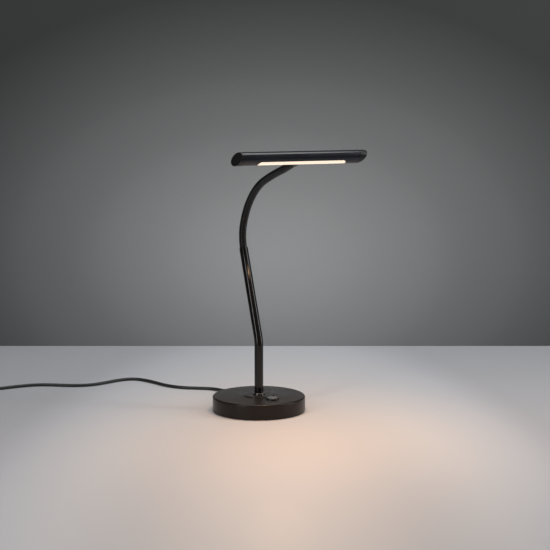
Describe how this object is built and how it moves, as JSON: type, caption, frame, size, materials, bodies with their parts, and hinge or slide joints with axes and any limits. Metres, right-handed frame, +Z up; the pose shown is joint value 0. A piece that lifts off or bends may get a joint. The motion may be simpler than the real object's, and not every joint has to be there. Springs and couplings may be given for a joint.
{
  "type": "piano lamp",
  "caption": "Low table lamp for a piano: a weighted round foot with a push switch, a bent stem, a flexible ribbed neck and a slim tubular head with a lit slot.",
  "frame": {"origin": "centre of the foot on the surface it stands on", "axes": "+Z up, -Y towards the front where the push button is, +X along the lamp head towards its right end"},
  "size_m": [0.5383, 0.4655, 0.3966],
  "materials": {
    "bronze_paint": "satin dark bronze paint",
    "plate_steel": "plain",
    "zinc_steel": "zinc plated",
    "pad_rubber": "matt",
    "weight_iron": "as cast",
    "neck_steel": "satin dark bronze plating",
    "diffuser_plastic": "frosted",
    "carrier_aluminium": "extruded",
    "board_white": "white solder mask",
    "led_light": "phosphor",
    "lead_white": "flexible insulation",
    "bezel_metal": "satin",
    "button_plastic": "satin",
    "black_plastic": "moulded",
    "board_green": "solder mask",
    "lead_black": "flexible insulation",
    "cord_black": "flexible sheath",
    "tie_plastic": "soft strap",
    "plug_plastic": "moulded",
    "pin_brass": "nickel plated brass"
  },
  "bodies": {
    "base": {"base_cover": "bronze_paint", "base_plate": "plate_steel", "base_screws": "zinc_steel", "foot_pad": "pad_rubber", "base_weight": "weight_iron", "stem_washer": "zinc_steel", "stem_nut": "zinc_steel", "threaded_nipple": "zinc_steel", "stem_foot_ring": "bronze_paint", "stem_tube": "bronze_paint", "neck_plug": "zinc_steel", "neck_segment_01": "neck_steel", "button_bezel": "bezel_metal", "switch_nut": "zinc_steel", "switch_body": "black_plastic", "button_spring": "zinc_steel", "driver_case": "black_plastic", "driver_board": "board_green", "driver_parts": "black_plastic", "stem_lead": "lead_black", "switch_lead": "lead_black", "inner_lead": "cord_black", "strain_relief": "cord_black", "cord_clamp_saddle": "black_plastic", "cord_clamp_bar": "black_plastic", "cord_clamp_screws": "zinc_steel", "cord_lead": "cord_black", "cord_coil": "cord_black", "cord_tail": "cord_black", "coil_tie": "tie_plastic", "plug_body": "plug_plastic", "plug_pins": "pin_brass", "plug_pin_sleeves": "plug_plastic"},
    "neck_02": {"neck_segment_02": "neck_steel"},
    "neck_03": {"neck_segment_03": "neck_steel"},
    "neck_04": {"neck_segment_04": "neck_steel"},
    "neck_05": {"neck_segment_05": "neck_steel"},
    "neck_06": {"neck_segment_06": "neck_steel"},
    "neck_07": {"neck_segment_07": "neck_steel"},
    "neck_08": {"neck_segment_08": "neck_steel"},
    "neck_09": {"neck_segment_09": "neck_steel"},
    "neck_10": {"neck_segment_10": "neck_steel"},
    "neck_11": {"neck_segment_11": "neck_steel"},
    "neck_12": {"neck_segment_12": "neck_steel"},
    "head": {"head_tube": "bronze_paint", "end_cap_left": "bronze_paint", "end_cap_right": "bronze_paint", "diffuser": "diffuser_plastic", "led_carrier": "carrier_aluminium", "led_board": "board_white", "led_chips": "led_light", "led_board_screws": "zinc_steel", "neck_fitting": "bronze_paint", "head_saddle": "carrier_aluminium", "head_lead": "lead_white", "neck_segment_13": "neck_steel"},
    "button": {"button_cap": "button_plastic"}
  },
  "joints": [
    {"name": "neck_bend_01", "type": "hinge", "parent": "base", "child": "neck_02", "pos_m": [0, 0.05538, 0.26047], "axis": [1, 0, 0], "range_deg": [-18, 16]},
    {"name": "neck_bend_02", "type": "hinge", "parent": "neck_02", "child": "neck_03", "pos_m": [0, 0.05216, 0.27841], "axis": [0, 0.9448, 0.3277], "range_deg": [-17, 17]},
    {"name": "neck_bend_03", "type": "hinge", "parent": "neck_03", "child": "neck_04", "pos_m": [0, 0.04469, 0.29512], "axis": [1, 0, 0], "range_deg": [-18, 16]},
    {"name": "neck_bend_04", "type": "hinge", "parent": "neck_04", "child": "neck_05", "pos_m": [0, 0.03447, 0.31029], "axis": [0, 0.778, 0.6282], "range_deg": [-17, 17]},
    {"name": "neck_bend_05", "type": "hinge", "parent": "neck_05", "child": "neck_06", "pos_m": [0, 0.02195, 0.32366], "axis": [1, 0, 0], "range_deg": [-18, 16]},
    {"name": "neck_bend_06", "type": "hinge", "parent": "neck_06", "child": "neck_07", "pos_m": [0, 0.00764, 0.33507], "axis": [0, 0.5655, 0.8247], "range_deg": [-17, 17]},
    {"name": "neck_bend_07", "type": "hinge", "parent": "neck_07", "child": "neck_08", "pos_m": [0, -0.00816, 0.34431], "axis": [1, 0, 0], "range_deg": [-18, 16]},
    {"name": "neck_bend_08", "type": "hinge", "parent": "neck_08", "child": "neck_09", "pos_m": [0, -0.0251, 0.35128], "axis": [0, 0.3436, 0.9391], "range_deg": [-17, 17]},
    {"name": "neck_bend_09", "type": "hinge", "parent": "neck_09", "child": "neck_10", "pos_m": [0, -0.0424, 0.35731], "axis": [1, 0, 0], "range_deg": [-18, 16]},
    {"name": "neck_bend_10", "type": "hinge", "parent": "neck_10", "child": "neck_11", "pos_m": [0, -0.05988, 0.36281], "axis": [0, 0.2854, 0.9584], "range_deg": [-17, 17]},
    {"name": "neck_bend_11", "type": "hinge", "parent": "neck_11", "child": "neck_12", "pos_m": [0, -0.07748, 0.36788], "axis": [1, 0, 0], "range_deg": [-18, 16]},
    {"name": "neck_bend_12", "type": "hinge", "parent": "neck_12", "child": "head", "pos_m": [0, -0.09491, 0.37354], "axis": [0, 0.333, 0.9429], "range_deg": [-17, 17]},
    {"name": "button_press", "type": "slide", "parent": "base", "child": "button", "axis": [0, 0, -1], "range_m": [0, 0.001], "stiffness_N_per_m": 700, "springref_m": -0.0012, "deforming": ["button_spring"]}
  ]
}
